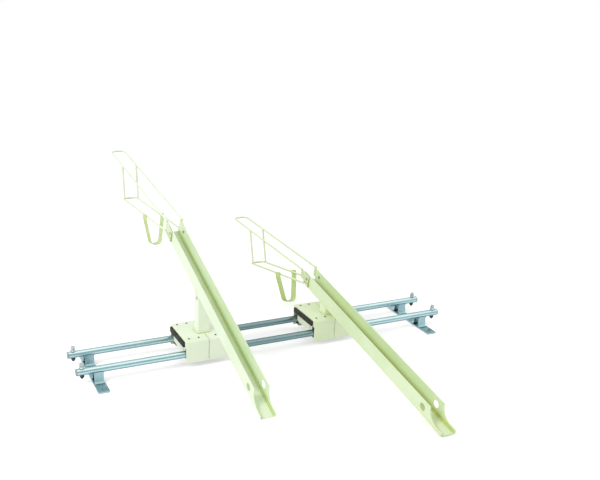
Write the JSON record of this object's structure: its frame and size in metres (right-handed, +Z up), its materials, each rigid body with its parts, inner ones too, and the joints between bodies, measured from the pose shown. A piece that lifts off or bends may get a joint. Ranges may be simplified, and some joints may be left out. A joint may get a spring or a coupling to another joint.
{
  "type": "two tier bike rack",
  "caption": "Sliding bicycle rack: high and low wheel channels with bar holders for the front wheel, each on a roller carriage that runs along round rails on flat feet",
  "frame": {"origin": "Middle of the ground rectangle under the whole rack, on the floor plane", "axes": "+X along the rails from the high rack towards the low rack, +Y from the channels' low ends towards the wheel holders, +Z up"},
  "size_m": [1.5876, 2.0052, 0.5837],
  "materials": {
    "galvanised_steel": "hot-dip galvanised, dull and lightly spangled",
    "plug_plastic": "matt moulded plastic",
    "bolt_zinc": "zinc plated, slightly dull",
    "cream_paint": "satin powder coat, pale ivory with a green tint",
    "bumper_rubber": "matt black rubber",
    "frame_steel": "zinc plated sheet, unpainted inside the cover",
    "fastener_steel": "dark zinc plated",
    "roller_nylon": "natural nylon"
  },
  "bodies": {
    "root": {"front_rail": "galvanised_steel", "rear_rail": "galvanised_steel", "left_foot": "galvanised_steel", "right_foot": "galvanised_steel", "front_left_plug": "plug_plastic", "rear_left_plug": "plug_plastic", "front_right_plug": "plug_plastic", "rear_right_plug": "plug_plastic", "front_left_end_bolt": "bolt_zinc", "rear_left_end_bolt": "bolt_zinc", "front_right_end_bolt": "bolt_zinc", "rear_right_end_bolt": "bolt_zinc"},
    "high_rack": {"high_carriage_frame": "frame_steel", "high_left_cover": "cream_paint", "high_right_cover": "cream_paint", "high_left_bumper": "bumper_rubber", "high_right_bumper": "bumper_rubber", "high_left_axle": "fastener_steel", "high_right_axle": "fastener_steel", "high_front_guide": "roller_nylon", "high_rear_guide": "roller_nylon", "high_front_screw_strip": "fastener_steel", "high_rear_screw_strip": "fastener_steel", "high_stud_plate": "fastener_steel", "high_post": "cream_paint", "high_channel": "cream_paint", "high_upper_loop": "cream_paint", "high_lower_loop": "cream_paint", "high_left_upright": "cream_paint", "high_right_upright": "cream_paint", "high_tyre_cradle": "cream_paint", "high_channel_seat": "cream_paint", "high_post_bolt": "fastener_steel"},
    "low_rack": {"low_carriage_frame": "frame_steel", "low_left_cover": "cream_paint", "low_right_cover": "cream_paint", "low_left_bumper": "bumper_rubber", "low_right_bumper": "bumper_rubber", "low_left_axle": "fastener_steel", "low_right_axle": "fastener_steel", "low_front_guide": "roller_nylon", "low_rear_guide": "roller_nylon", "low_front_screw_strip": "fastener_steel", "low_rear_screw_strip": "fastener_steel", "low_stud_plate": "fastener_steel", "low_post": "cream_paint", "low_channel": "cream_paint", "low_upper_loop": "cream_paint", "low_lower_loop": "cream_paint", "low_left_upright": "cream_paint", "low_right_upright": "cream_paint", "low_tyre_cradle": "cream_paint"},
    "high_front_left_roller": {"high_front_left_roller": "roller_nylon"},
    "high_rear_left_roller": {"high_rear_left_roller": "roller_nylon"},
    "high_front_right_roller": {"high_front_right_roller": "roller_nylon"},
    "high_rear_right_roller": {"high_rear_right_roller": "roller_nylon"},
    "low_front_left_roller": {"low_front_left_roller": "roller_nylon"},
    "low_rear_left_roller": {"low_rear_left_roller": "roller_nylon"},
    "low_front_right_roller": {"low_front_right_roller": "roller_nylon"},
    "low_rear_right_roller": {"low_rear_right_roller": "roller_nylon"}
  },
  "joints": [
    {"name": "high_slide", "type": "slide", "parent": "root", "child": "high_rack", "axis": [1, 0, 0], "range_m": [-0.316, 0.172]},
    {"name": "low_slide", "type": "slide", "parent": "root", "child": "low_rack", "axis": [1, 0, 0], "range_m": [-0.172, 0.316]},
    {"name": "high_front_left_roller_spin", "type": "hinge", "parent": "high_rack", "child": "high_front_left_roller", "pos_m": [-0.3315, -0.24694, 0.0795], "axis": [0, 1, 0], "range_deg": [-1400, 765]},
    {"name": "high_rear_left_roller_spin", "type": "hinge", "parent": "high_rack", "child": "high_rear_left_roller", "pos_m": [-0.3315, -0.10094, 0.0795], "axis": [0, 1, 0], "range_deg": [-1400, 765]},
    {"name": "high_front_right_roller_spin", "type": "hinge", "parent": "high_rack", "child": "high_front_right_roller", "pos_m": [-0.2215, -0.24694, 0.0795], "axis": [0, 1, 0], "range_deg": [-1400, 765]},
    {"name": "high_rear_right_roller_spin", "type": "hinge", "parent": "high_rack", "child": "high_rear_right_roller", "pos_m": [-0.2215, -0.10094, 0.0795], "axis": [0, 1, 0], "range_deg": [-1400, 765]},
    {"name": "low_front_left_roller_spin", "type": "hinge", "parent": "low_rack", "child": "low_front_left_roller", "pos_m": [0.2215, -0.24694, 0.0795], "axis": [0, 1, 0], "range_deg": [-765, 1400]},
    {"name": "low_rear_left_roller_spin", "type": "hinge", "parent": "low_rack", "child": "low_rear_left_roller", "pos_m": [0.2215, -0.10094, 0.0795], "axis": [0, 1, 0], "range_deg": [-765, 1400]},
    {"name": "low_front_right_roller_spin", "type": "hinge", "parent": "low_rack", "child": "low_front_right_roller", "pos_m": [0.3315, -0.24694, 0.0795], "axis": [0, 1, 0], "range_deg": [-765, 1400]},
    {"name": "low_rear_right_roller_spin", "type": "hinge", "parent": "low_rack", "child": "low_rear_right_roller", "pos_m": [0.3315, -0.10094, 0.0795], "axis": [0, 1, 0], "range_deg": [-765, 1400]}
  ],
  "couplings": [
    {"joint": "high_front_left_roller_spin", "follows": "high_slide", "rad_per_m": 76.923},
    {"joint": "high_rear_left_roller_spin", "follows": "high_slide", "rad_per_m": 76.923},
    {"joint": "high_front_right_roller_spin", "follows": "high_slide", "rad_per_m": 76.923},
    {"joint": "high_rear_right_roller_spin", "follows": "high_slide", "rad_per_m": 76.923},
    {"joint": "low_front_left_roller_spin", "follows": "low_slide", "rad_per_m": 76.923},
    {"joint": "low_rear_left_roller_spin", "follows": "low_slide", "rad_per_m": 76.923},
    {"joint": "low_front_right_roller_spin", "follows": "low_slide", "rad_per_m": 76.923},
    {"joint": "low_rear_right_roller_spin", "follows": "low_slide", "rad_per_m": 76.923}
  ]
}
